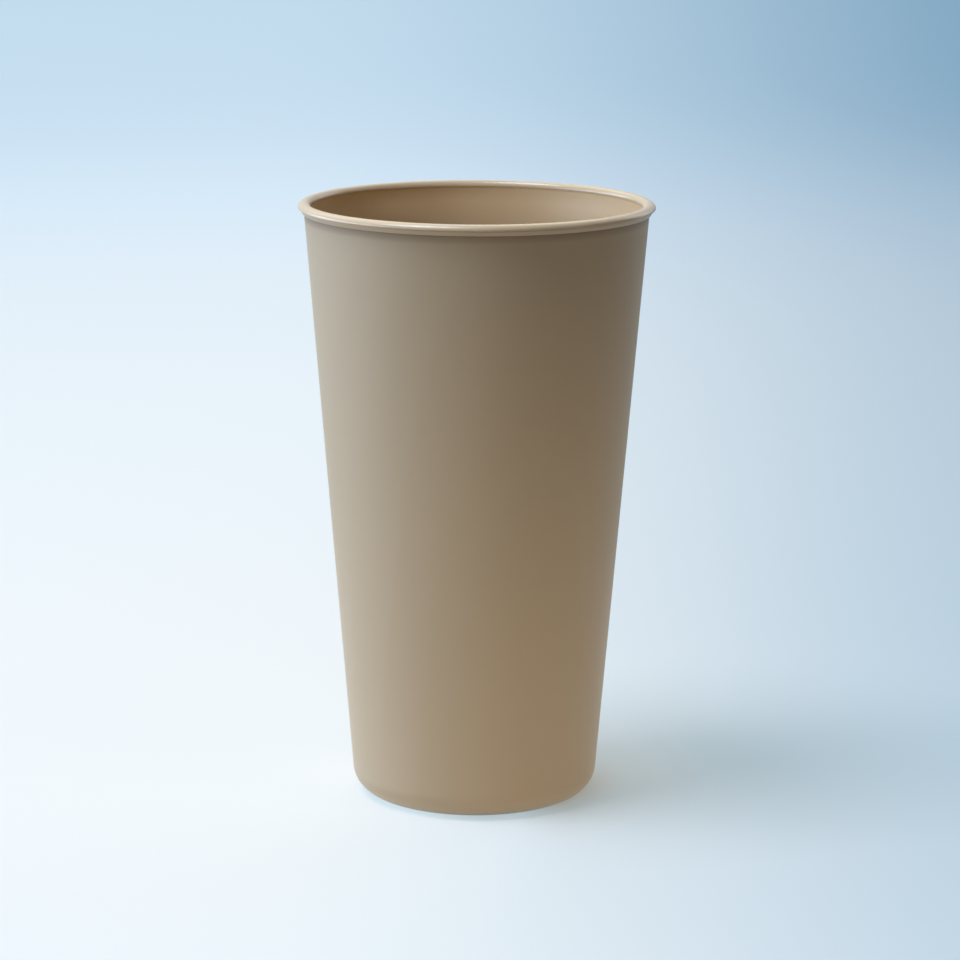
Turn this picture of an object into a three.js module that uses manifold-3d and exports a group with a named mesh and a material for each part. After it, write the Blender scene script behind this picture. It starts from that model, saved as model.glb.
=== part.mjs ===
// Double-wall plastic coffee cup, in millimetres, +Z up.
// Three welded mouldings: a liner that holds the drink, a shell round it and a cap that closes the shell's base.
// The origin lies on the table, on the cup's axis.

import * as THREE from "three";
import { mergeVertices } from "three/addons/utils/BufferGeometryUtils.js";
import Module from "manifold-3d";

const wasm = await Module();
wasm.setup();

// Overall form
const cupHeight = 153; // table to the crown of the lip
const lipDiameter = 90; // the lip takes the common press-on lid
const lipOverhang = 1.55; // lip beyond the wall under the collar
const baseDiameter = 61.6; // outer wall carried straight down to the table
const footRound = 7; // outer radius where the wall turns into the foot

// Lip of the liner
const lipDepth = 1.28; // crown to the underside
const lipEdgeRound = 0.2; // lower outer edge
const crownInset = 1.8; // outer edge to the crown, measured inwards
const lipInnerDepth = 1.4; // crown to the innermost line
const lipInnerBead = 0.1; // innermost line beyond the inside wall
const lipBeadFall = 0.6; // height in which the bead runs back into the wall

// Collar of the shell
const collarHeight = 1.2;
const collarInset = 0.3; // collar's upper edge behind the lip's outer edge
const collarTaper = 0.65; // collar's lower edge behind its upper edge
const collarUpperRound = 0.15;
const collarLowerRound = 0.15;
const collarNeckRound = 0.1; // hollow corner between collar and wall

// Walls: both thin out towards the rim, because core and cavity have different drafts
const shellWallTop = 0.65;
const shellWallFoot = 1.3;
const linerWallTop = 0.65;
const linerWallFoot = 1.3;
const linerFloor = 1.4;
const linerCornerRound = 6; // inside, between wall and floor
const airGap = 3; // between the walls, at the liner's floor

// Foot ring and base cap
const footFlat = 2; // width of the face that stands on the table
const footEdgeRound = 0.5; // inner edge of the foot ring
const baseRecess = 2.2; // table to the underside of the cap
const capDisc = 1.3;
const capWall = 1.2;
const capEdgeRound = 0.5;
const capSkirt = 1.8; // cap's disc to the underside of its flange
const capFlange = 1.2;
const gateDiameter = 7; // recess round the moulding point, under the cap
const gateDepth = 0.4;
const supportInset = 7.5; // cap's skirt to the ring that carries the liner's floor
const supportWall = 1.4;
const supportClearance = 0.3; // ring to the liner's floor
const floorClearance = 1.6; // cap's flange to the liner's floor
const ribCount = 8;
const ribWidth = 1.2;
const ribDrop = 0.8; // rib's inner end below the top of the ring

// Welded joints
const weldRidgeWidth = 0.6;
const weldRidgeHeight = 0.25; // also the shadow line between lip and collar
const seatClearance = 0.25; // liner inside the collar
const capClearance = 0.25; // cap inside the foot ring

// Fineness of round surfaces
const turnSegments = 64;
const facetDeviation = 0.03; // of a round's facets from the true arc
const lipFacets = 7; // in each half of the lip's top
const samePoint = 1e-6; // points nearer than this are one

// Finish
const plasticColour = 0xae9878;
const lipRoughness = 0.42;
const shellRoughness = 0.5;
const capRoughness = 0.55;

// Heights that the pieces share, from the table up and from the crown down
const lipUnder = cupHeight - lipDepth;
const collarTop = lipUnder - weldRidgeHeight;
const collarBottom = collarTop - collarHeight;
const capTop = baseRecess + capDisc;
const flangeUnder = capTop + capSkirt;
const flangeTop = flangeUnder + capFlange;
const footRingTop = flangeUnder - weldRidgeHeight;
const floorUnder = flangeTop + floorClearance;
const floorTop = floorUnder + linerFloor;

// Radii that the pieces share
const lipRadius = lipDiameter / 2;
const crownRadius = lipRadius - crownInset;
const collarRadius = lipRadius - collarInset;
const wallTopRadius = lipRadius - lipOverhang;
const wallBaseRadius = baseDiameter / 2;
const wallSlope = Math.atan2(wallTopRadius - wallBaseRadius, collarBottom);
const footOuterRadius = wallBaseRadius - footRound * Math.tan(Math.PI / 4 - wallSlope / 2);
const footInnerRadius = footOuterRadius - footFlat - footEdgeRound;
const footRingRadius = footInnerRadius + shellWallFoot;
const capRadius = footInnerRadius - capClearance;

// A straight side through two points of a section: gives the radius at a height
function side(lowRadius, lowHeight, highRadius, highHeight) {
  const slope = (highRadius - lowRadius) / (highHeight - lowHeight);
  return (height) => lowRadius + slope * (height - lowHeight);
}

const shellInside = side(wallBaseRadius - shellWallFoot, 0, wallTopRadius - shellWallTop, collarBottom);
const linerOutside = side(
  shellInside(floorUnder) - airGap,
  floorUnder,
  shellInside(collarTop) - seatClearance,
  collarTop,
);
const linerInside = side(
  linerOutside(floorTop) - linerWallFoot,
  floorTop,
  linerOutside(collarTop) - linerWallTop,
  collarTop,
);

// A section's corner: radius from the cup's axis, height, and the size of its round
function corner(radius, height, round = 0) {
  return { point: new THREE.Vector2(radius, height), round };
}

// How far a corner's round reaches along each of its sides, if the sides are long enough
function cornerReach({ point, round }, before, after) {
  if (round === 0) return 0;
  const toBefore = before.point.clone().sub(point);
  const toAfter = after.point.clone().sub(point);
  return round / Math.tan(toBefore.angleTo(toAfter) / 2);
}

// Points of the arc that touches both sides of a corner at this reach
function cornerArc(point, before, after, reach) {
  const toBefore = before.clone().sub(point).normalize();
  const toAfter = after.clone().sub(point).normalize();
  const halfOpening = toBefore.angleTo(toAfter) / 2;
  const middle = toBefore.clone().add(toAfter).normalize();
  const centre = point.clone().addScaledVector(middle, reach / Math.cos(halfOpening));
  const start = point.clone().addScaledVector(toBefore, reach).sub(centre);
  const turn = Math.PI - 2 * halfOpening;
  const direction = Math.sign(toAfter.cross(toBefore));
  const facetTurn = 2 * Math.acos(Math.max(0, 1 - facetDeviation / start.length()));
  const steps = Math.max(2, Math.ceil(turn / facetTurn));
  const origin = new THREE.Vector2();
  return Array.from({ length: steps + 1 }, (_, step) =>
    start.clone().rotateAround(origin, (direction * turn * step) / steps).add(centre),
  );
}

// Section outline with its corners rounded; two rounds that share a short side divide it between them
function roundedOutline(corners) {
  const beside = (index) => [index - 1, index + 1].map((other) => (other + corners.length) % corners.length);
  const reaches = corners.map((one, index) => {
    const [before, after] = beside(index);
    return cornerReach(one, corners[before], corners[after]);
  });
  return corners.flatMap((one, index) => {
    if (one.round === 0) return [one.point];
    const room = beside(index).map((other) => {
      const length = one.point.distanceTo(corners[other].point);
      return length / (reaches[index] + reaches[other]);
    });
    const [before, after] = beside(index).map((other) => corners[other].point);
    return cornerArc(one.point, before, after, reaches[index] * Math.min(1, ...room));
  });
}

// Runs of points joined end to end, without the points that repeat
function joined(...runs) {
  const points = runs.flat();
  return points.filter((point, index) => index === 0 || point.distanceTo(points[index - 1]) > samePoint);
}

// A quarter of an ellipse, from one angle to another
function quarterEllipse(centreRadius, centreHeight, halfWidth, halfHeight, fromAngle, toAngle) {
  const curve = new THREE.EllipseCurve(centreRadius, centreHeight, halfWidth, halfHeight, fromAngle, toAngle, false);
  return curve.getPoints(lipFacets);
}

// A weld ridge under a flat face, from its inner to its outer side
function weldRidge(middleRadius, faceHeight) {
  const inner = middleRadius - weldRidgeWidth / 2;
  const outer = middleRadius + weldRidgeWidth / 2;
  const tip = faceHeight - weldRidgeHeight;
  return [corner(inner, faceHeight), corner(inner, tip), corner(outer, tip), corner(outer, faceHeight)];
}

// Section turned once round the cup's axis
function turned(outline) {
  return new THREE.LatheGeometry(outline, turnSegments).rotateX(Math.PI / 2);
}

function solidOf(geometry) {
  const bare = geometry.clone();
  bare.deleteAttribute("normal");
  bare.deleteAttribute("uv");
  const merged = mergeVertices(bare);
  const vertProperties = merged.getAttribute("position").array;
  const triVerts = new Uint32Array(merged.index.array);
  return new wasm.Manifold(new wasm.Mesh({ numProp: 3, vertProperties, triVerts }));
}

function geometryOf(solid) {
  const { vertProperties, triVerts } = solid.getMesh();
  const geometry = new THREE.BufferGeometry();
  geometry.setAttribute("position", new THREE.BufferAttribute(vertProperties, 3));
  geometry.setIndex(new THREE.BufferAttribute(triVerts, 1));
  geometry.computeVertexNormals();
  return geometry;
}

// Liner: floor, steep wall and the lip that hangs over the shell's collar
function innerLiner() {
  const lipInnerHeight = cupHeight - lipInnerDepth;
  const beadEnd = lipInnerHeight - lipBeadFall;
  const lipInnerRadius = linerInside(beadEnd) - lipInnerBead;
  const edgeHeight = lipUnder + lipEdgeRound;
  const ridgeRadius = (shellInside(collarTop) + collarRadius) / 2;
  const outside = [
    corner(0, floorUnder),
    corner(linerOutside(floorUnder), floorUnder, linerCornerRound + linerWallFoot),
    corner(linerOutside(lipUnder), lipUnder),
    ...weldRidge(ridgeRadius, lipUnder),
    corner(lipRadius, lipUnder, lipEdgeRound),
    corner(lipRadius, edgeHeight),
  ];
  const lipOuterTop = quarterEllipse(crownRadius, edgeHeight, crownInset, lipDepth - lipEdgeRound, 0, Math.PI / 2);
  const lipInnerTop = quarterEllipse(
    crownRadius,
    lipInnerHeight,
    crownRadius - lipInnerRadius,
    lipInnerDepth,
    Math.PI / 2,
    Math.PI,
  );
  const inside = [
    corner(lipInnerRadius, lipInnerHeight),
    corner(linerInside(beadEnd), beadEnd),
    corner(linerInside(floorTop), floorTop, linerCornerRound),
    corner(0, floorTop),
  ];
  return turned(joined(roundedOutline(outside), lipOuterTop, lipInnerTop, roundedOutline(inside)));
}

// Shell: foot ring, straight wall and collar, open at the top and at the base
function outerShell() {
  const footCorner = footRound - shellWallFoot;
  const outline = roundedOutline([
    corner(footInnerRadius, 0, footEdgeRound),
    corner(wallBaseRadius, 0, footRound),
    corner(wallTopRadius, collarBottom, collarNeckRound),
    corner(collarRadius - collarTaper, collarBottom, collarLowerRound),
    corner(collarRadius, collarTop, collarUpperRound),
    corner(shellInside(collarTop), collarTop),
    corner(shellInside(shellWallFoot), shellWallFoot, footCorner),
    corner(footRingRadius, shellWallFoot),
    corner(footRingRadius, footRingTop),
    corner(footInnerRadius, footRingTop),
  ]);
  return turned([...outline, outline[0]]);
}

// One rib of the cap, standing on its disc between the support ring and the skirt
function capRib(angle, ringOuterRadius, ringTop) {
  const innerEnd = ringOuterRadius - supportWall / 2;
  const outerEnd = capRadius - capWall / 2;
  const foot = capTop - capDisc / 2;
  const outline = new THREE.Shape([
    new THREE.Vector2(innerEnd, foot),
    new THREE.Vector2(outerEnd, foot),
    new THREE.Vector2(outerEnd, flangeUnder),
    new THREE.Vector2(innerEnd, ringTop - ribDrop),
  ]);
  const rib = new THREE.ExtrudeGeometry(outline, { depth: ribWidth, bevelEnabled: false });
  rib.translate(0, 0, -ribWidth / 2);
  rib.rotateX(Math.PI / 2);
  rib.rotateZ(angle);
  return rib;
}

// Cap: recessed disc with a gate mark below, and above it a support ring, ribs and the flange that it hangs by
function baseCap() {
  const skirtInnerRadius = capRadius - capWall;
  const ringOuterRadius = skirtInnerRadius - supportInset;
  const ringInnerRadius = ringOuterRadius - supportWall;
  const ringTop = floorUnder - supportClearance;
  const gateRadius = gateDiameter / 2;
  const outline = roundedOutline([
    corner(0, baseRecess + gateDepth),
    corner(gateRadius, baseRecess + gateDepth),
    corner(gateRadius, baseRecess),
    corner(capRadius, baseRecess, capEdgeRound),
    corner(capRadius, flangeUnder),
    ...weldRidge((footInnerRadius + footRingRadius) / 2, flangeUnder),
    corner(footRingRadius, flangeUnder),
    corner(footRingRadius, flangeTop),
    corner(skirtInnerRadius, flangeTop),
    corner(skirtInnerRadius, capTop),
    corner(ringOuterRadius, capTop),
    corner(ringOuterRadius, ringTop),
    corner(ringInnerRadius, ringTop),
    corner(ringInnerRadius, capTop),
    corner(0, capTop),
  ]);
  const ribs = Array.from({ length: ribCount }, (_, index) =>
    capRib((2 * Math.PI * index) / ribCount, ringOuterRadius, ringTop),
  );
  const cap = ribs.reduce((whole, rib) => whole.add(solidOf(rib)), solidOf(turned(outline)));
  return geometryOf(cap);
}

function moulding(name, geometry, roughness) {
  const material = new THREE.MeshStandardMaterial({ color: plasticColour, roughness, metalness: 0 });
  const mesh = new THREE.Mesh(geometry, material);
  mesh.name = name;
  return mesh;
}

const coffeeCup = new THREE.Group();
coffeeCup.add(
  moulding("inner_liner", innerLiner(), lipRoughness),
  moulding("outer_shell", outerShell(), shellRoughness),
  moulding("base_cap", baseCap(), capRoughness),
);

export default coffeeCup;
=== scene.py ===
import math

import bpy
import numpy as np
from mathutils import Matrix, Vector


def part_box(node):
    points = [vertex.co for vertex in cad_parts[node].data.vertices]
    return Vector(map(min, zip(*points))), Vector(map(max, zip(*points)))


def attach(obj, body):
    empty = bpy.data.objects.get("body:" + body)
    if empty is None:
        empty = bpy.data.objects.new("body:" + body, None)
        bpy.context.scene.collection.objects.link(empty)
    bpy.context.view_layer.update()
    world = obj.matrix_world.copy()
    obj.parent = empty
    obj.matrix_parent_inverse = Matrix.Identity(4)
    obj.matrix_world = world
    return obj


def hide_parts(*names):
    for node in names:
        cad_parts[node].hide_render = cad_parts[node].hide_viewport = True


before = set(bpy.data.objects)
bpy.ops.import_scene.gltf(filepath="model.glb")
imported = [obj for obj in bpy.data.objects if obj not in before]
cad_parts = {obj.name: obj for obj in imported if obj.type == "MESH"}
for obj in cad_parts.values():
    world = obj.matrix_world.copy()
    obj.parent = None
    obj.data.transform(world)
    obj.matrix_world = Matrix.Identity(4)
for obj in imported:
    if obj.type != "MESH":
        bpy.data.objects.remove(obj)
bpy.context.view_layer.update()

mm = 0.001
turnSteps = 288   # facets round the axis
roundSteps = 10   # facets in a small round
cornerSteps = 20  # facets in the corners at the bottom
footSteps = 30    # facets in the foot's round
wallRows = 40     # rings up a straight wall
samePlace = 1e-6  # mm; points nearer than this are one point
sharpEdge = 40    # degrees; sharper edges stay crisp
print("frame loaded:", ", ".join(sorted(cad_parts)))


def linearColour(hexText):
    # sRGB hex to scene linear, with alpha 1
    srgb = np.array([int(hexText[i:i + 2], 16) for i in (1, 3, 5)]) / 255
    linear = np.where(srgb <= 0.04045, srgb / 12.92, ((srgb + 0.055) / 1.055) ** 2.4)
    return (*linear.tolist(), 1.0)


def addNode(tree, kind, settings=None, **links):
    # one node: settings go to its properties, or to its sockets by name or number, and a setting that
    # is another node's output is linked; links are sockets by name, with _ for a space
    node = tree.nodes.new(kind)
    for key, value in (settings or {}).items():
        if isinstance(value, bpy.types.NodeSocket):
            tree.links.new(value, node.inputs[key])
        elif isinstance(key, str) and hasattr(node, key):
            setattr(node, key, value)
        else:
            node.inputs[key].default_value = value
    for key, source in links.items():
        tree.links.new(source, node.inputs[key.replace("_", " ")])
    return node


# Sections in the (radius, height) plane, in mm

def straight(start, end, rows):
    # evenly spaced points from start to end
    share = np.linspace(0, 1, rows + 1)[:, None]
    return np.array(start) * (1 - share) + np.array(end) * share


def ellipsePart(centre, halfSize, fromDegrees, toDegrees, steps):
    # centre + halfSize * (cos t, sin t), t running between the two angles
    t = np.radians(np.linspace(fromDegrees, toDegrees, steps + 1))
    return np.array(centre) + np.array(halfSize) * np.stack([np.cos(t), np.sin(t)], axis=1)


def roundCorner(before, corner, after, radius, steps=roundSteps):
    # arc of that radius touching both sides: the start point turned about the arc's centre
    before, corner, after = (np.array(p, float) for p in (before, corner, after))
    toBefore = (before - corner) / np.linalg.norm(before - corner)
    toAfter = (after - corner) / np.linalg.norm(after - corner)
    half = math.acos(np.clip(toBefore @ toAfter, -1, 1)) / 2
    middle = (toBefore + toAfter) / np.linalg.norm(toBefore + toAfter)
    centre = corner + middle * radius / math.sin(half)
    start = corner + toBefore * radius / math.tan(half) - centre
    side = np.sign(toAfter[0] * toBefore[1] - toAfter[1] * toBefore[0])
    t = np.linspace(0, side * (math.pi - 2 * half), steps + 1)
    turned = [np.cos(t) * start[0] - np.sin(t) * start[1], np.sin(t) * start[0] + np.cos(t) * start[1]]
    return centre + np.stack(turned, axis=1)


def joinRuns(*runs):
    # runs of points end to end, without repeats
    points = np.concatenate([np.atleast_2d(np.array(run, float)) for run in runs])
    fresh = np.linalg.norm(np.diff(points, axis=0), axis=1) > samePlace
    return points[np.concatenate([[True], fresh])]


def lineAt(low, high):
    # radius of a straight side at a height
    slope = (high[0] - low[0]) / (high[1] - low[1])
    return lambda height: low[0] + slope * (height - low[1])


# Turned pieces

def ringFaces(ringCount, closed):
    # quads between each ring of points and the next; a closed section joins the last ring to the first
    rows = np.arange(ringCount if closed else ringCount - 1)[:, None] * turnSteps
    here = np.arange(turnSteps)[None, :]
    beside = (here + 1) % turnSteps
    above = (rows + turnSteps) % (ringCount * turnSteps)
    quads = np.stack([rows + here, rows + beside, above + beside, above + here], axis=2)
    return quads.reshape(-1, 4).tolist()


def poleFans(ringCount):
    # triangles from the first and last rings to the two points on the axis that follow the rings
    here = np.arange(turnSteps)
    beside = (here + 1) % turnSteps
    last = (ringCount - 1) * turnSteps
    firstPole = np.full(turnSteps, ringCount * turnSteps)
    lastPole = firstPole + 1
    firstFan = np.stack([firstPole, beside, here], axis=1)
    lastFan = np.stack([last + here, last + beside, lastPole], axis=1)
    return firstFan.tolist() + lastFan.tolist()


def turnSection(name, section, closed):
    # x = r cos a, y = r sin a, z = height: every section point carried round the axis in one array
    ring = section if closed else section[1:-1]
    a = np.linspace(0, 2 * np.pi, turnSteps, endpoint=False)
    r, z = ring[:, 0, None], ring[:, 1, None]
    grid = np.stack([r * np.cos(a), r * np.sin(a), np.broadcast_to(z, (len(ring), turnSteps))], axis=2)
    points = grid.reshape(-1, 3)
    faces = ringFaces(len(ring), closed)
    if not closed:  # fans close both ends on the axis
        points = np.concatenate([points, [[0, 0, section[0, 1]], [0, 0, section[-1, 1]]]])
        faces += poleFans(len(ring))
    mesh = bpy.data.meshes.new(name)
    mesh.from_pydata((points * mm).tolist(), [], faces)
    mesh.polygons.foreach_set("use_smooth", np.ones(len(mesh.polygons), bool))
    mesh.set_sharp_from_angle(angle=math.radians(sharpEdge))
    mesh.update()
    piece = bpy.data.objects.new(name, mesh)
    bpy.context.scene.collection.objects.link(piece)
    return piece


def place(piece, node, material):
    piece.data.materials.append(material)
    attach(piece, "root")
    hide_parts(node)


# Moulded plastic

plastic = {
    "driftSize": 38.0,       # mm, slow drift of the pigment
    "driftDepth": 0.025,     # share of the colour
    "driftDetail": 3.0,
    "driftRoughness": 0.45,
    "grainSize": 0.45,       # mm; the real mould grain is near 0.15, too fine to show, so it is drawn coarser
    "grainDetail": 2.0,
    "grainRoughness": 0.6,
    "sheenSwing": 0.04,      # roughness either way, with the grain
    "ior": 1.49,             # polypropylene
}


def heightShare(tree, place3d, band):
    # 0 at the lower end of the band's fade and 1 at the upper end; the fade is in mm from the band's level
    low, high = (band["level"] + edge for edge in band["fade"])
    height = addNode(tree, "ShaderNodeSeparateXYZ", Vector=place3d)
    share = addNode(tree, "ShaderNodeMapRange", {"From Min": low * mm, "From Max": high * mm},
                    Value=height.outputs["Z"])
    return share.outputs["Result"]


def tanPigment(tree, place3d, finish):
    # a tan that drifts slowly, with painted shade in the crease under the collar and a paler tan at the rim
    # that is painted light
    tan = np.array(linearColour(finish["tan"])[:3])
    darkTan, lightTan = tan * (1 - plastic["driftDepth"]), tan * (1 + plastic["driftDepth"])
    drift = addNode(tree, "ShaderNodeTexNoise",
                    {"Scale": 1 / (plastic["driftSize"] * mm), "Detail": plastic["driftDetail"],
                     "Roughness": plastic["driftRoughness"]}, Vector=place3d)
    pigment = addNode(tree, "ShaderNodeMixRGB", {"Color1": (*darkTan, 1), "Color2": (*lightTan, 1)},
                      Fac=drift.outputs["Fac"])
    colour = pigment.outputs["Color"]
    # painted shade: below the collar's lower edge the tan is multiplied darker, where the collar shades the
    # wall
    if "paintedCreaseShade" in finish:
        paintedCreaseShade = finish["paintedCreaseShade"]
        shaded = addNode(tree, "ShaderNodeMixRGB",
                         {"blend_type": "MULTIPLY", "Color2": linearColour(paintedCreaseShade["tone"])},
                         Fac=heightShare(tree, place3d, paintedCreaseShade), Color1=colour)
        colour = shaded.outputs["Color"]
    # painted light: above the band's level the tan turns paler, standing in for the light on the collar and
    # the sheen on the lip
    if "rim" in finish:
        rim = finish["rim"]
        paintedRimLight = addNode(tree, "ShaderNodeMixRGB", {"Color2": linearColour(rim["tan"])},
                        Fac=heightShare(tree, place3d, rim), Color1=colour)
        colour = paintedRimLight.outputs["Color"]
    return colour


def mouldSheen(tree, place3d, finish, grain):
    # roughness that swings with the grain, and is even and lower at the polished rim
    low, high = finish["roughness"] - plastic["sheenSwing"], finish["roughness"] + plastic["sheenSwing"]
    sheen = addNode(tree, "ShaderNodeMapRange", {"To Min": low, "To Max": high}, Value=grain)
    if "rim" not in finish:
        return sheen.outputs["Result"]
    rim = finish["rim"]
    polished = addNode(tree, "ShaderNodeMapRange",
                       {"To Min": sheen.outputs["Result"], "To Max": rim["roughness"]},
                       Value=heightShare(tree, place3d, rim))
    return polished.outputs["Result"]


def mouldedPolypropylene(name, finish):
    # Tan polypropylene from a spark-eroded mould: an even, dry satin that spreads the window's light
    # into a broad sheen, with a slow drift of pigment and a fine grain only seen near to. The mould is
    # polished at the rim, so the plastic shines more there; its paler tan there is painted light.
    material = bpy.data.materials.new(name)
    material.use_nodes = True
    tree = material.node_tree
    tree.nodes.clear()
    place3d = addNode(tree, "ShaderNodeTexCoord").outputs["Object"]
    grain = addNode(tree, "ShaderNodeTexNoise",
                    {"Scale": 1 / (plastic["grainSize"] * mm), "Detail": plastic["grainDetail"],
                     "Roughness": plastic["grainRoughness"]}, Vector=place3d).outputs["Fac"]
    bump = addNode(tree, "ShaderNodeBump", {"Distance": finish["grainHeight"] * mm}, Height=grain)
    shader = addNode(tree, "ShaderNodeBsdfPrincipled", {"IOR": plastic["ior"]},
                     Base_Color=tanPigment(tree, place3d, finish),
                     Roughness=mouldSheen(tree, place3d, finish, grain),
                     Normal=bump.outputs["Normal"])
    addNode(tree, "ShaderNodeOutputMaterial", Surface=shader.outputs["BSDF"])
    return material


# Heights and radii that the pieces share come from the frame
shellHigh = np.array(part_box("outer_shell")[1]) / mm
linerLow, linerHigh = (np.array(corner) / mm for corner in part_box("inner_liner"))

shellSize = {
    "collarHeight": 1.2,
    "collarTaper": 0.65,   # its lower edge behind its upper edge
    "collarUpperRound": 0.15,
    "collarLowerRound": 0.15,
    "neckRound": 0.1,
    "wallTop": 43.45,      # outer radius under the collar
    "wallBase": 30.8,      # outer radius carried down to the table
    "thickTop": 0.65,
    "thickFoot": 1.3,
    "footRound": 7.0,
    "footFlat": 2.0,
    "footEdgeRound": 0.5,
    "footRingTop": 5.05,
}
collarRadius, collarTop = shellHigh[0], shellHigh[2]
collarBottom = collarTop - shellSize["collarHeight"]
shellInside = lineAt((shellSize["wallBase"] - shellSize["thickFoot"], 0),
                     (shellSize["wallTop"] - shellSize["thickTop"], collarBottom))


def shellCorners():
    # the sharp corners of the shell's section, before any is rounded
    size = shellSize
    lean = math.atan2(size["wallTop"] - size["wallBase"], collarBottom)
    footOuter = size["wallBase"] - size["footRound"] * math.tan(math.pi / 4 - lean / 2)
    footInner = footOuter - size["footFlat"] - size["footEdgeRound"]
    ringOuter = footInner + size["thickFoot"]
    return {
        "footInner": (footInner, 0),
        "footOuter": (size["wallBase"], 0),
        "neck": (size["wallTop"], collarBottom),
        "collarLow": (collarRadius - size["collarTaper"], collarBottom),
        "collarHigh": (collarRadius, collarTop),
        "mouth": (shellInside(collarTop), collarTop),
        "channel": (shellInside(size["thickFoot"]), size["thickFoot"]),
        "ringFoot": (ringOuter, size["thickFoot"]),
        "ringOuter": (ringOuter, size["footRingTop"]),
        "ringInner": (footInner, size["footRingTop"]),
    }


def makeShell():
    # closed section: foot ring, wall, collar, then down the inside
    size, at = shellSize, shellCorners()
    channelRound = size["footRound"] - size["thickFoot"]
    foot = roundCorner(at["footInner"], at["footOuter"], at["neck"], size["footRound"], footSteps)
    neck = roundCorner(at["footOuter"], at["neck"], at["collarLow"], size["neckRound"])
    channel = roundCorner(at["mouth"], at["channel"], at["ringFoot"], channelRound, cornerSteps)
    section = joinRuns(
        roundCorner(at["ringInner"], at["footInner"], at["footOuter"], size["footEdgeRound"]),
        foot,
        straight(foot[-1], neck[0], wallRows),
        neck,
        roundCorner(at["neck"], at["collarLow"], at["collarHigh"], size["collarLowerRound"]),
        roundCorner(at["collarLow"], at["collarHigh"], at["mouth"], size["collarUpperRound"]),
        straight(at["mouth"], channel[0], wallRows),
        channel,
        at["ringFoot"], at["ringOuter"], at["ringInner"],
    )
    return turnSection("shell", section, closed=True)


linerSize = {
    "seamGap": 0.02,       # shadow line between lip and collar
    "lipEdgeRound": 0.2,
    "crownInset": 1.8,
    "lipInnerDepth": 1.4,
    "lipInnerBead": 0.1,
    "lipBeadFall": 0.6,
    "seat": 0.25,          # clearance inside the collar
    "airGap": 3.0,
    "thickTop": 0.65,
    "thickFoot": 1.3,
    "floor": 1.4,
    "cornerRound": 6.0,
    "ridgeWidth": 0.6,
    "poleRing": 1.0,       # radius of the ring nearest the axis
    "floorRows": 6,        # rings across the floor
    "beadRows": 4,         # rings down the bead
    "crownSteps": 24,      # facets over the lip, outside
    "innerSteps": 20,      # facets over the lip, inside
}
lipRadius, cupHeight = linerHigh[0], linerHigh[2]
floorUnder = linerLow[2]
floorTop = floorUnder + linerSize["floor"]
linerOutside = lineAt((shellInside(floorUnder) - linerSize["airGap"], floorUnder),
                      (shellInside(collarTop) - linerSize["seat"], collarTop))
linerInside = lineAt((linerOutside(floorTop) - linerSize["thickFoot"], floorTop),
                     (linerOutside(collarTop) - linerSize["thickTop"], collarTop))


def linerLip(lipUnder, beadEnd):
    # ridge, lip edge, two quarter ellipses over the crown, then the bead down to the inside wall
    size = linerSize
    edgeHeight = lipUnder + size["lipEdgeRound"]
    crownRadius = lipRadius - size["crownInset"]
    innerHeight = cupHeight - size["lipInnerDepth"]
    innerRadius = linerInside(beadEnd) - size["lipInnerBead"]
    ridge = (shellInside(collarTop) + collarRadius) / 2
    ridgeIn, ridgeOut = ridge - size["ridgeWidth"] / 2, ridge + size["ridgeWidth"] / 2
    edgeCentre, edgeHalf = (lipRadius - size["lipEdgeRound"], edgeHeight), (size["lipEdgeRound"],) * 2
    outerHalf = (size["crownInset"], cupHeight - edgeHeight)
    innerHalf = (crownRadius - innerRadius, size["lipInnerDepth"])
    return joinRuns(
        (ridgeIn, lipUnder), (ridgeIn, collarTop), (ridgeOut, collarTop), (ridgeOut, lipUnder),
        ellipsePart(edgeCentre, edgeHalf, -90, 0, roundSteps),
        ellipsePart((crownRadius, edgeHeight), outerHalf, 0, 90, size["crownSteps"]),
        ellipsePart((crownRadius, innerHeight), innerHalf, 90, 180, size["innerSteps"]),
        straight((innerRadius, innerHeight), (linerInside(beadEnd), beadEnd), size["beadRows"]),
    )


def makeLiner():
    # open section from the axis under the floor, up the outside, over the lip and down to the axis again
    size = linerSize
    lipUnder = collarTop + size["seamGap"]
    beadEnd = cupHeight - size["lipInnerDepth"] - size["lipBeadFall"]
    underFloor, underCorner = (0, floorUnder), (linerOutside(floorUnder), floorUnder)
    onFloor, onCorner = (0, floorTop), (linerInside(floorTop), floorTop)
    spigot, beadFoot = (linerOutside(lipUnder), lipUnder), (linerInside(beadEnd), beadEnd)
    outerRound = size["cornerRound"] + size["thickFoot"]
    outerCorner = roundCorner(underFloor, underCorner, spigot, outerRound, cornerSteps)
    innerCorner = roundCorner(beadFoot, onCorner, onFloor, size["cornerRound"], cornerSteps)
    section = joinRuns(
        underFloor,
        straight((size["poleRing"], floorUnder), outerCorner[0], size["floorRows"]),
        outerCorner,
        straight(outerCorner[-1], spigot, wallRows),
        linerLip(lipUnder, beadEnd),
        straight(beadFoot, innerCorner[0], wallRows),
        innerCorner,
        straight(innerCorner[-1], (size["poleRing"], floorTop), size["floorRows"]),
        onFloor,
    )
    return turnSection("liner", section, closed=False)


shellFinish = mouldedPolypropylene("polypropylene-fine-matte", {
    "tan": "#a99576", "roughness": 0.5, "grainHeight": 0.010,
    # painted shade: the tan darkens towards the collar's lower edge
    "paintedCreaseShade": {"level": collarBottom, "fade": (-2.3, -0.15), "tone": "#ccc2bb"},
    # painted light: the collar is drawn in a paler tan; its lower roughness is the polished mould
    "rim": {"level": collarBottom, "fade": (-0.1, 0.0), "tan": "#b5a07f", "roughness": 0.4},
})
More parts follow.
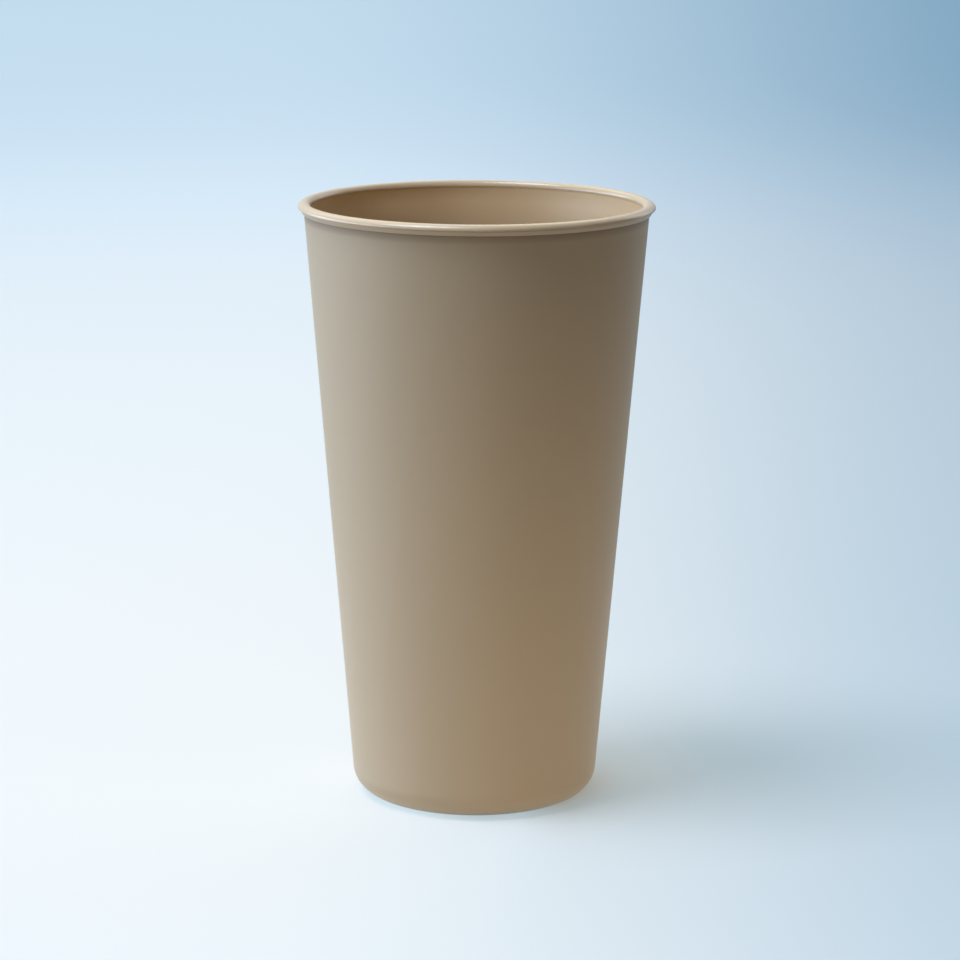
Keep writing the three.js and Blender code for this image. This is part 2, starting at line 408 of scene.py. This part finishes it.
# painted light: the liner is drawn in a lighter, warmer tan than the shell, standing in for the light inside
# the cup
linerFinish = mouldedPolypropylene("polypropylene-satin", {
    "tan": "#c2a57b", "roughness": 0.42, "grainHeight": 0.006,
    # painted sheen: the lip is drawn in a greyer tan than the liner; its lower roughness is the polished
    # mould
    "rim": {"level": collarTop, "fade": (-0.3, 0.3), "tan": "#bca480", "roughness": 0.3},
})
capFinish = mouldedPolypropylene("polypropylene-matte", {
    "tan": "#a99576", "roughness": 0.55, "grainHeight": 0.014,
})
print("materials made")

place(makeShell(), "outer_shell", shellFinish)
place(makeLiner(), "inner_liner", linerFinish)
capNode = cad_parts["base_cap"]
capNode.data.materials.clear()
capNode.data.materials.append(capFinish)
print("pieces made")


# Stage

def seenByEye(tree):
    # 1 for what the camera sees, straight or mirrored, and 0 for the light that falls on things
    path = addNode(tree, "ShaderNodeLightPath").outputs
    mirrored = addNode(tree, "ShaderNodeMath",
                       {"operation": "MAXIMUM", 0: path["Is Glossy Ray"], 1: path["Is Transmission Ray"]})
    seen = addNode(tree, "ShaderNodeMath",
                   {"operation": "MAXIMUM", 0: path["Is Camera Ray"], 1: mirrored.outputs["Value"]})
    return seen.outputs["Value"]


floorSize = {
    "reach": 9.0,                # m each way
    "lines": 25,                 # grid lines each way
    "roughness": 0.8,
    "board": "#a0958b",          # what the board gives back to the cup
    "underWindow": "#262626",    # darker beside the window lamp, where it would turn white
    "windowFade": (-1.6, -0.6),  # m across
    "nearGlow": ("#b5c4c9", "#6696ae"),  # lift seen by the camera, left and right
    "farGlow": ("#bdd6e8", "#6e99b6"),
    "sideFade": (-0.05, 0.15),   # m across, near the cup
    "sideGrowth": 1.4,           # how the fade widens for each metre away
    "farFade": (0.0, 1.2),       # m away
}
footSpill = {  # mm; what changes the glow close to the foot
    "windowTone": "#c3d7e2",     # daylight that comes in under the foot's round
    "windowAcross": (-20.0, 5.0),
    "windowApart": (28.6, 31.0),
    "cupTone": "#888c88",        # the cup's own tan, in the shade beside it
    "cupAcross": (8.0, 26.0),
    "cupCentre": (0.0, 4.0, 0.0),
    "cupApart": 28.0,
    "cupFall": 3.0,              # power of the distance
}


def boardPaint(tree, across):
    # even, but darker on the far left
    low, high = floorSize["windowFade"]
    dark, even = linearColour(floorSize["underWindow"]), linearColour(floorSize["board"])
    fromWindow = addNode(tree, "ShaderNodeMapRange", {"From Min": low, "From Max": high}, Value=across)
    paint = addNode(tree, "ShaderNodeMixRGB", {"Color1": dark, "Color2": even},
                    Fac=fromWindow.outputs["Result"])
    return paint.outputs["Color"]


def boardGlow(tree, across, apart):
    # a tone that turns from left to right, over a width that grows with distance, and from near to far
    nearLeft, nearRight = (linearColour(tone) for tone in floorSize["nearGlow"])
    farLeft, farRight = (linearColour(tone) for tone in floorSize["farGlow"])
    sideLow, sideHigh = floorSize["sideFade"]
    farLow, farHigh = floorSize["farFade"]
    widening = addNode(tree, "ShaderNodeMath",
                       {"operation": "MULTIPLY_ADD", 0: apart, 1: floorSize["sideGrowth"], 2: 1.0})
    sideways = addNode(tree, "ShaderNodeMath",
                       {"operation": "DIVIDE", 0: across, 1: widening.outputs["Value"]})
    side = addNode(tree, "ShaderNodeMapRange",
                   {"interpolation_type": "SMOOTHSTEP", "From Min": sideLow, "From Max": sideHigh},
                   Value=sideways.outputs["Value"]).outputs["Result"]
    away = addNode(tree, "ShaderNodeMapRange", {"From Min": farLow, "From Max": farHigh}, Value=apart)
    near = addNode(tree, "ShaderNodeMixRGB", {"Color1": nearLeft, "Color2": nearRight}, Fac=side)
    far = addNode(tree, "ShaderNodeMixRGB", {"Color1": farLeft, "Color2": farRight}, Fac=side)
    tone = addNode(tree, "ShaderNodeMixRGB", Fac=away.outputs["Result"], Color1=near.outputs["Color"],
                   Color2=far.outputs["Color"])
    return tone.outputs["Color"]


def windowSpill(tree, across, apart, tone):
    # lighter close to the foot, on the window side only
    sideLow, sideHigh = (edge * mm for edge in footSpill["windowAcross"])
    nearLow, nearHigh = (edge * mm for edge in footSpill["windowApart"])
    side = addNode(tree, "ShaderNodeMapRange",
                   {"interpolation_type": "SMOOTHSTEP", "From Min": sideLow, "From Max": sideHigh,
                    "To Min": 1.0, "To Max": 0.0}, Value=across)
    near = addNode(tree, "ShaderNodeMapRange",
                   {"interpolation_type": "SMOOTHSTEP", "From Min": nearLow, "From Max": nearHigh,
                    "To Min": 1.0, "To Max": 0.0}, Value=apart)
    share = addNode(tree, "ShaderNodeMath",
                    {"operation": "MULTIPLY", 0: side.outputs["Result"], 1: near.outputs["Result"]})
    lit = addNode(tree, "ShaderNodeMixRGB", {"Color2": linearColour(footSpill["windowTone"])},
                  Fac=share.outputs["Value"], Color1=tone)
    return lit.outputs["Color"]


def cupSpill(tree, across, place3d, tone):
    # darker and warmer on the shaded side, falling off with a power of the distance
    sideLow, sideHigh = (edge * mm for edge in footSpill["cupAcross"])
    centre = [edge * mm for edge in footSpill["cupCentre"]]
    side = addNode(tree, "ShaderNodeMapRange",
                   {"interpolation_type": "SMOOTHSTEP", "From Min": sideLow, "From Max": sideHigh},
                   Value=across)
    away = addNode(tree, "ShaderNodeVectorMath", {"operation": "DISTANCE", 0: place3d, 1: centre})
    near = addNode(tree, "ShaderNodeMath", {"operation": "DIVIDE", "use_clamp": True,
                                            0: footSpill["cupApart"] * mm, 1: away.outputs["Value"]})
    fall = addNode(tree, "ShaderNodeMath",
                   {"operation": "POWER", 0: near.outputs["Value"], 1: footSpill["cupFall"]})
    share = addNode(tree, "ShaderNodeMath",
                    {"operation": "MULTIPLY", 0: side.outputs["Result"], 1: fall.outputs["Value"]})
    shaded = addNode(tree, "ShaderNodeMixRGB", {"Color2": linearColour(footSpill["cupTone"])},
                     Fac=share.outputs["Value"], Color1=tone)
    return shaded.outputs["Color"]


def paintedBoard():
    # matt painted board: a pale blue ground that takes a soft shadow; a faint glow, seen by the camera
    # and in reflections only, keeps it pale without more light on the cup
    material = bpy.data.materials.new("matt-painted-board")
    material.use_nodes = True
    tree = material.node_tree
    tree.nodes.clear()
    place3d = addNode(tree, "ShaderNodeTexCoord").outputs["Object"]
    across = addNode(tree, "ShaderNodeSeparateXYZ", Vector=place3d).outputs["X"]
    apart = addNode(tree, "ShaderNodeVectorMath", {"operation": "LENGTH"}, Vector=place3d).outputs["Value"]
    tone = windowSpill(tree, across, apart, boardGlow(tree, across, apart))
    glow = addNode(tree, "ShaderNodeEmission", Color=cupSpill(tree, across, place3d, tone),
                   Strength=seenByEye(tree))
    board = addNode(tree, "ShaderNodeBsdfPrincipled",
                    {"Roughness": floorSize["roughness"], "Specular IOR Level": 0.0},  # no gloss
                    Base_Color=boardPaint(tree, across))
    both = addNode(tree, "ShaderNodeAddShader", {0: board.outputs["BSDF"], 1: glow.outputs["Emission"]})
    addNode(tree, "ShaderNodeOutputMaterial", Surface=both.outputs["Shader"])
    return material


def makeFloor():
    # flat grid z = 0
    line = np.linspace(-floorSize["reach"], floorSize["reach"], floorSize["lines"])
    x, y = np.meshgrid(line, line)
    points = np.stack([x, y, np.zeros_like(x)], axis=2).reshape(-1, 3)
    count = len(line)
    corner = (np.arange(count - 1)[:, None] * count + np.arange(count - 1)[None, :]).reshape(-1)
    faces = np.stack([corner, corner + 1, corner + count + 1, corner + count], axis=1)
    mesh = bpy.data.meshes.new("floor")
    mesh.from_pydata(points.tolist(), [], faces.tolist())
    floor = bpy.data.objects.new("floor", mesh)
    bpy.context.scene.collection.objects.link(floor)
    mesh.materials.append(paintedBoard())


blueDay = "#c9dfff"
coolDay = "#d8e6ff"
warmRoom = "#ffebce"
plainWhite = "#ffffff"
openSpread = 180  # degrees, for a lamp with no spread of its own
lampSet = {  # places and sizes in m, power in W, spread in degrees
    "window": {"at": (-3.2, 0.3, 0.58), "to": (0, 0, 0.08), "size": (4.5, 1.2),
               "power": 140.0, "tint": blueDay},
    "skylight": {"at": (-0.335, -0.165, 0.97), "to": (0, 0, 0.1), "size": (0.45, 0.45),
                 "power": 12.0, "tint": coolDay},
    "backTop": {"at": (-0.2, 0.8, 1.0), "to": (0, 0, 0.1), "size": (1.2, 0.8),
                "power": 5.6, "tint": warmRoom},
    "backRight": {"at": (0.9, 0.9, 0.5), "to": (0, 0, 0.08), "size": (0.6, 0.8),
                  "power": 2.6, "tint": plainWhite},
    "floorBounce": {"at": (0, 0, 0.0006), "to": (0, 0, 1), "size": (0.36, 0.36),
                    "power": 0.125, "tint": plainWhite},
    "lowFront": {"at": (0, -1.15, 0.25), "to": (0, 0, 0), "size": (0.25, 0.1),
                 "power": 0.038, "tint": warmRoom, "spread": 20},
    "lowRight": {"at": (0.9, -0.5, 0.25), "to": (0, 0, 0), "size": (0.25, 0.1),
                 "power": 0.036, "tint": warmRoom, "spread": 20},
}
backdropTone = "#c9dbe8"


def aimAt(thing, target):
    thing.rotation_mode = "QUATERNION"
    thing.rotation_quaternion = (Vector(target) - thing.location).to_track_quat("-Z", "Y")


def makeLamps():
    for name, lamp in lampSet.items():
        data = bpy.data.lights.new(name, "AREA")
        data.shape = "RECTANGLE"
        data.size, data.size_y = lamp["size"]
        data.energy = lamp["power"]
        data.spread = math.radians(lamp.get("spread", openSpread))
        data.color = linearColour(lamp["tint"])[:3]
        lampObject = bpy.data.objects.new(name, data)
        lampObject.location = lamp["at"]
        lampObject.visible_camera = False
        bpy.context.scene.collection.objects.link(lampObject)
        aimAt(lampObject, lamp["to"])


def makeBackdrop():
    # an even pale blue past the floor, seen but giving no light
    world = bpy.data.worlds.new("soft-room")
    bpy.context.scene.world = world
    world.use_nodes = True
    tree = world.node_tree
    tree.nodes.clear()
    backdrop = addNode(tree, "ShaderNodeBackground", {"Color": linearColour(backdropTone)},
                       Strength=seenByEye(tree))
    addNode(tree, "ShaderNodeOutputWorld", Surface=backdrop.outputs["Background"])


cameraView = {
    "distance": 914.45,   # mm in front of the cup's axis
    "height": 272.17,     # mm above the table
    "lens": 137.13,       # mm on a 36 mm sensor
    "pitch": 11.783,      # degrees down
    "yaw": 0.0705,
    "roll": 0.270,
}


def makeCamera():
    view = cameraView
    pitch, yaw, roll = (math.radians(view[key]) for key in ("pitch", "yaw", "roll"))
    ahead = Vector((math.sin(yaw) * math.cos(pitch), math.cos(yaw) * math.cos(pitch), -math.sin(pitch)))
    right = Vector((math.cos(yaw), -math.sin(yaw), 0))
    up = right.cross(ahead)
    across = math.cos(roll) * right + math.sin(roll) * up
    upright = math.cos(roll) * up - math.sin(roll) * right
    data = bpy.data.cameras.new("camera")
    data.lens = view["lens"]
    camera = bpy.data.objects.new("camera", data)
    turn = Matrix((across, upright, -ahead)).transposed().to_4x4()
    camera.matrix_world = Matrix.Translation((0, -view["distance"] * mm, view["height"] * mm)) @ turn
    bpy.context.scene.collection.objects.link(camera)
    bpy.context.scene.camera = camera


makeFloor()
makeLamps()
makeBackdrop()
makeCamera()
bpy.context.scene.view_settings.view_transform = "Standard"
print("stage made")
